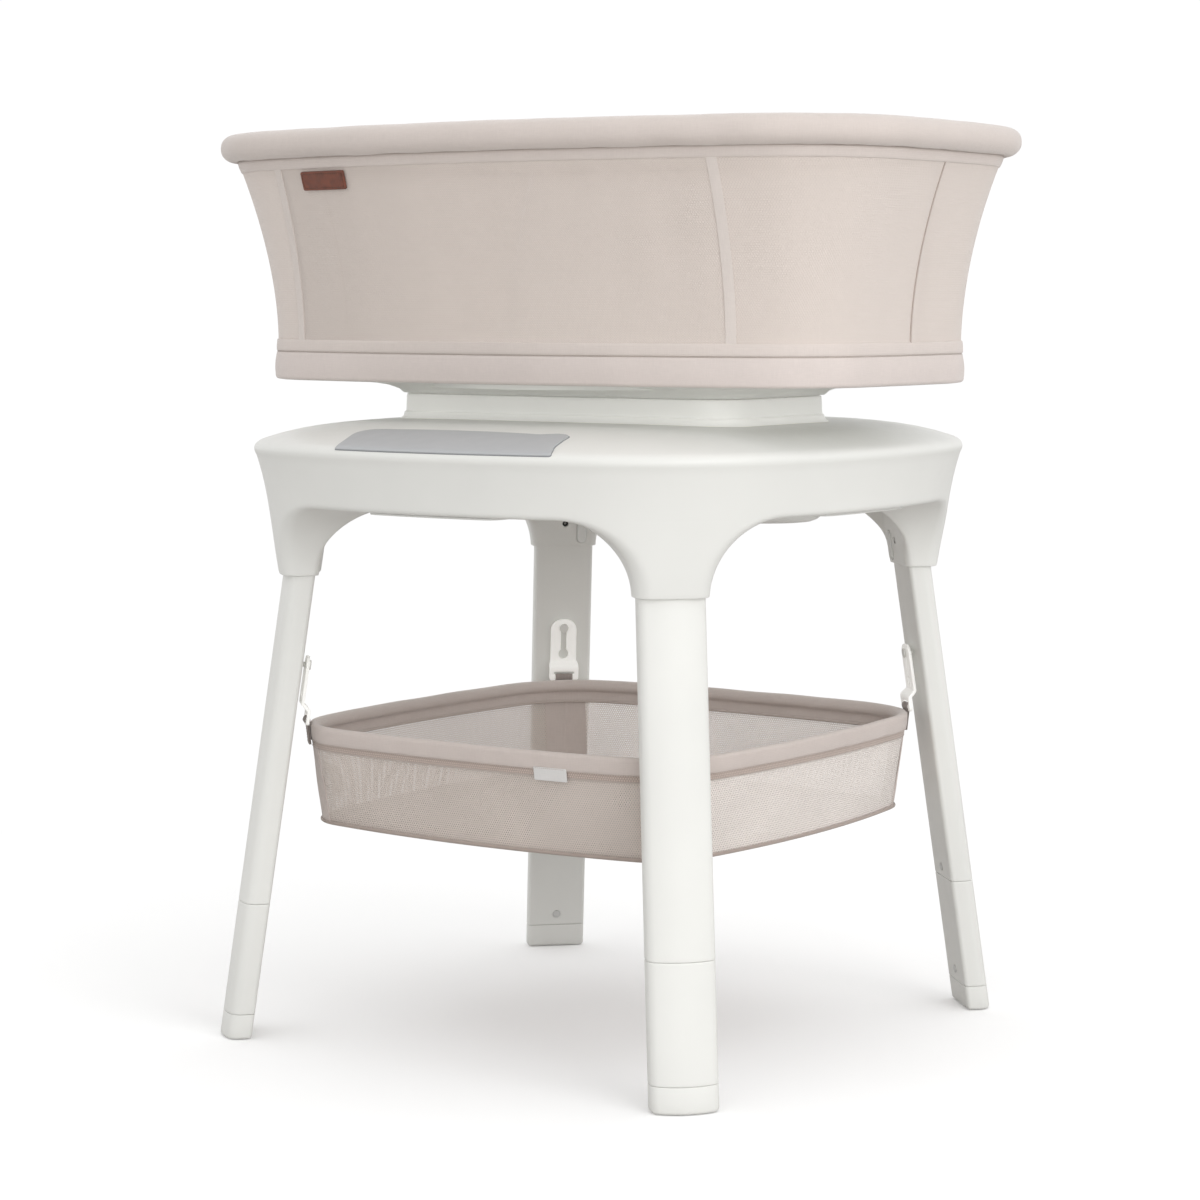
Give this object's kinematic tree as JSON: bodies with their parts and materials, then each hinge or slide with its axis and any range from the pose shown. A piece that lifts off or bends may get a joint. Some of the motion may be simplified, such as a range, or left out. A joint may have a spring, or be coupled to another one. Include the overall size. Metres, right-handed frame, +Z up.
{
  "type": "bassinet on stand",
  "caption": "Oval mesh-sided bassinet on a flared pedestal tray over a domed square stand with splayed D-section legs, a touch panel and a hanging mesh storage basket.",
  "frame": {"origin": "on the floor, under the centre of the stand and of the bassinet", "axes": "+X along the length of the bassinet, -Y towards the side with the touch panel, +Z up"},
  "size_m": [0.8504, 0.689, 0.9525],
  "materials": {
    "white_shell": "satin moulded",
    "white_leg": "satin powder coat",
    "white_cap": "fine matt",
    "grey_panel": "satin film",
    "grey_button": "matt",
    "mesh_fabric": "knitted spacer mesh",
    "cover_fabric": "fine melange weave",
    "webbing": "ribbed webbing",
    "mattress_fabric": "soft jersey over foam",
    "leather": "smooth leatherette, stitched",
    "steel": "bright",
    "motor_metal": "satin",
    "belt_rubber": "matt",
    "dark_plastic": "matt",
    "board": "solder mask"
  },
  "bodies": {
    "stand": {"leg_front_right": "white_leg", "leg_front_left": "white_leg", "leg_back_right": "white_leg", "leg_back_left": "white_leg", "leg_extension_front_right": "white_leg", "leg_extension_front_left": "white_leg", "leg_extension_back_right": "white_leg", "leg_extension_back_left": "white_leg", "foot_front_right": "white_cap", "foot_front_left": "white_cap", "foot_back_right": "white_cap", "foot_back_left": "white_cap", "stand_shell": "white_shell", "stand_bottom_cover": "white_cap", "control_panel": "grey_panel", "pedestal": "white_shell", "guide_rail_left": "steel", "guide_rail_right": "steel", "drive_motor": "motor_metal", "drive_belt": "belt_rubber", "circuit_board": "board", "power_inlet": "dark_plastic"},
    "tray": {"tray": "white_shell"},
    "drive_pulley": {"drive_pulley": "steel"},
    "idler_pulley": {"idler_pulley": "steel"},
    "bassinet": {"base_board": "white_cap", "base_skirt": "cover_fabric", "bassinet_frame": "steel", "mesh_wall_right": "mesh_fabric", "mesh_wall_back": "mesh_fabric", "mesh_wall_left": "mesh_fabric", "mesh_wall_front": "mesh_fabric", "rim_cover": "cover_fabric", "leather_tag": "leather"},
    "mattress": {"mattress": "mattress_fabric"},
    "basket": {"basket_walls": "mesh_fabric", "basket_floor": "cover_fabric", "basket_rim_band": "cover_fabric", "basket_rim_wire": "steel", "basket_tag": "grey_panel", "basket_hook_front_right": "white_shell", "basket_hook_front_left": "white_shell", "basket_hook_back_right": "white_shell", "basket_hook_back_left": "white_shell", "basket_strap_front_right": "webbing", "basket_strap_front_left": "webbing", "basket_strap_back_right": "webbing", "basket_strap_back_left": "webbing"},
    "extension_button_front_right": {"extension_button_front_right": "white_cap"},
    "foot_button_front_right": {"foot_button_front_right": "white_cap"},
    "leg_release_front_right": {"leg_release_front_right": "grey_button"},
    "extension_button_front_left": {"extension_button_front_left": "white_cap"},
    "foot_button_front_left": {"foot_button_front_left": "white_cap"},
    "leg_release_front_left": {"leg_release_front_left": "grey_button"},
    "extension_button_back_right": {"extension_button_back_right": "white_cap"},
    "foot_button_back_right": {"foot_button_back_right": "white_cap"},
    "leg_release_back_right": {"leg_release_back_right": "grey_button"},
    "extension_button_back_left": {"extension_button_back_left": "white_cap"},
    "foot_button_back_left": {"foot_button_back_left": "white_cap"},
    "leg_release_back_left": {"leg_release_back_left": "grey_button"}
  },
  "joints": [
    {"name": "tray_sway", "type": "slide", "parent": "stand", "child": "tray", "axis": [0, 1, 0], "range_m": [-0.02, 0.02]},
    {"name": "drive_pulley_spin", "type": "hinge", "parent": "stand", "child": "drive_pulley", "pos_m": [0, -0.08, 0.65], "axis": [0, 0, 1], "range_deg": [-90, 90]},
    {"name": "idler_pulley_spin", "type": "hinge", "parent": "stand", "child": "idler_pulley", "pos_m": [0, 0.08, 0.65], "axis": [0, 0, 1], "range_deg": [-90, 90]},
    {"name": "bassinet_lift", "type": "slide", "parent": "tray", "child": "bassinet", "axis": [0, 0, 1], "range_m": [0, 0.15]},
    {"name": "mattress_lift", "type": "slide", "parent": "bassinet", "child": "mattress", "axis": [0, 0, 1], "range_m": [0, 0.2]},
    {"name": "basket_lift", "type": "slide", "parent": "stand", "child": "basket", "axis": [0, 0, 1], "range_m": [0, 0.03]},
    {"name": "extension_button_front_right_press", "type": "slide", "parent": "stand", "child": "extension_button_front_right", "axis": [0.6996, -0.6996, 0.1455], "range_m": [0, 0.003], "stiffness_N_per_m": 250},
    {"name": "foot_button_front_right_press", "type": "slide", "parent": "stand", "child": "foot_button_front_right", "axis": [0.6996, -0.6996, 0.1455], "range_m": [0, 0.003], "stiffness_N_per_m": 250},
    {"name": "leg_release_front_right_press", "type": "slide", "parent": "stand", "child": "leg_release_front_right", "axis": [0.6996, -0.6996, 0.1455], "range_m": [0, 0.0015], "stiffness_N_per_m": 400},
    {"name": "extension_button_front_left_press", "type": "slide", "parent": "stand", "child": "extension_button_front_left", "axis": [-0.6996, -0.6996, 0.1455], "range_m": [0, 0.003], "stiffness_N_per_m": 250},
    {"name": "foot_button_front_left_press", "type": "slide", "parent": "stand", "child": "foot_button_front_left", "axis": [-0.6996, -0.6996, 0.1455], "range_m": [0, 0.003], "stiffness_N_per_m": 250},
    {"name": "leg_release_front_left_press", "type": "slide", "parent": "stand", "child": "leg_release_front_left", "axis": [-0.6996, -0.6996, 0.1455], "range_m": [0, 0.0015], "stiffness_N_per_m": 400},
    {"name": "extension_button_back_right_press", "type": "slide", "parent": "stand", "child": "extension_button_back_right", "axis": [0.6996, 0.6996, 0.1455], "range_m": [0, 0.003], "stiffness_N_per_m": 250},
    {"name": "foot_button_back_right_press", "type": "slide", "parent": "stand", "child": "foot_button_back_right", "axis": [0.6996, 0.6996, 0.1455], "range_m": [0, 0.003], "stiffness_N_per_m": 250},
    {"name": "leg_release_back_right_press", "type": "slide", "parent": "stand", "child": "leg_release_back_right", "axis": [0.6996, 0.6996, 0.1455], "range_m": [0, 0.0015], "stiffness_N_per_m": 400},
    {"name": "extension_button_back_left_press", "type": "slide", "parent": "stand", "child": "extension_button_back_left", "axis": [-0.6996, 0.6996, 0.1455], "range_m": [0, 0.003], "stiffness_N_per_m": 250},
    {"name": "foot_button_back_left_press", "type": "slide", "parent": "stand", "child": "foot_button_back_left", "axis": [-0.6996, 0.6996, 0.1455], "range_m": [0, 0.003], "stiffness_N_per_m": 250},
    {"name": "leg_release_back_left_press", "type": "slide", "parent": "stand", "child": "leg_release_back_left", "axis": [-0.6996, 0.6996, 0.1455], "range_m": [0, 0.0015], "stiffness_N_per_m": 400}
  ],
  "couplings": [
    {"joint": "drive_pulley_spin", "follows": "tray_sway", "rad_per_m": 76.628},
    {"joint": "idler_pulley_spin", "follows": "tray_sway", "rad_per_m": 76.628}
  ]
}
